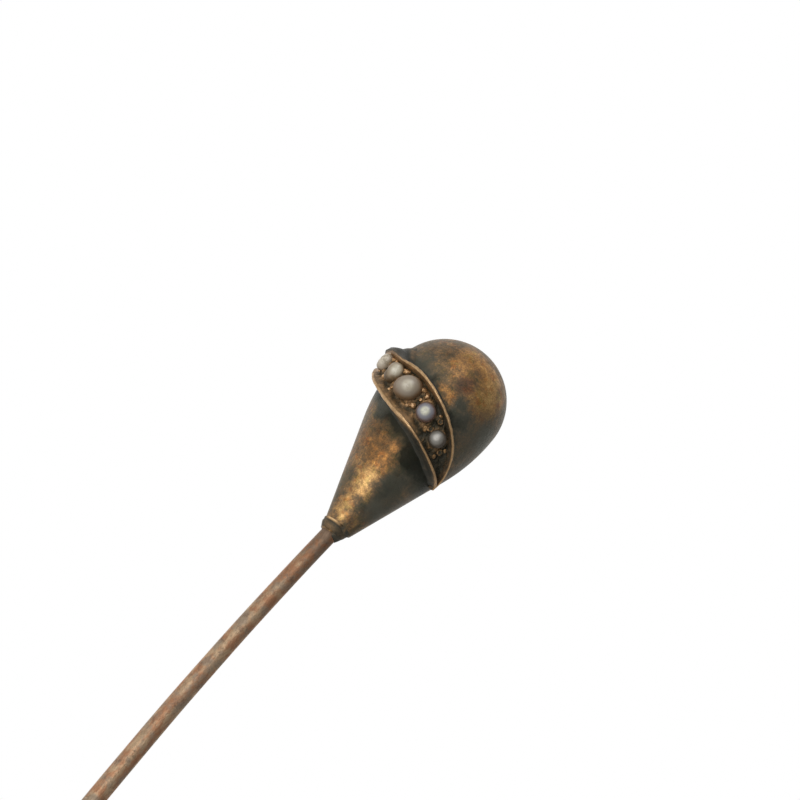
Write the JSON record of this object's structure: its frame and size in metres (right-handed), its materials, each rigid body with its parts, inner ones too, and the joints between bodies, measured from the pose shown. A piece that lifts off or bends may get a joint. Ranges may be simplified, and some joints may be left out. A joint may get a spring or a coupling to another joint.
{
  "type": "hat pin",
  "caption": "Hat pin: hollow teardrop metal head with a boat-shaped setting of graded pearls wrapped round it, on a long pointed stem.",
  "frame": {"origin": "on the head's axis at the height of the neck collar's mouth, where the stem leaves the head; the neck and stem sit 0.12 mm off that axis", "axes": "+Z along the pin, from the point towards the head's crown; the setting's middle pearl faces -Y and the setting falls towards +X"},
  "size_m": [0.0088, 0.0097, 0.1504],
  "materials": {
    "pin_wire": "drawn wire, tarnished to copper brown",
    "patina_gilt": "worn gilt over base metal, mottled brown and grey-green patina",
    "gilt": "rose-gold gilt, bright on worn edges",
    "solder": "dark oxidised solder",
    "pearl": "nacre: satin, faintly iridescent"
  },
  "bodies": {
    "root": {"pin_stem": "pin_wire", "neck_collar": "patina_gilt", "neck_solder": "solder", "stem_bush": "gilt", "head_taper": "patina_gilt", "head_dome": "patina_gilt", "seam_ring": "gilt", "setting_rim_upper": "gilt", "setting_rim_lower": "gilt", "seat_plate": "gilt", "pearl_1": "pearl", "pearl_2": "pearl", "pearl_3": "pearl", "pearl_4": "pearl", "pearl_5": "pearl"}
  },
  "joints": []
}
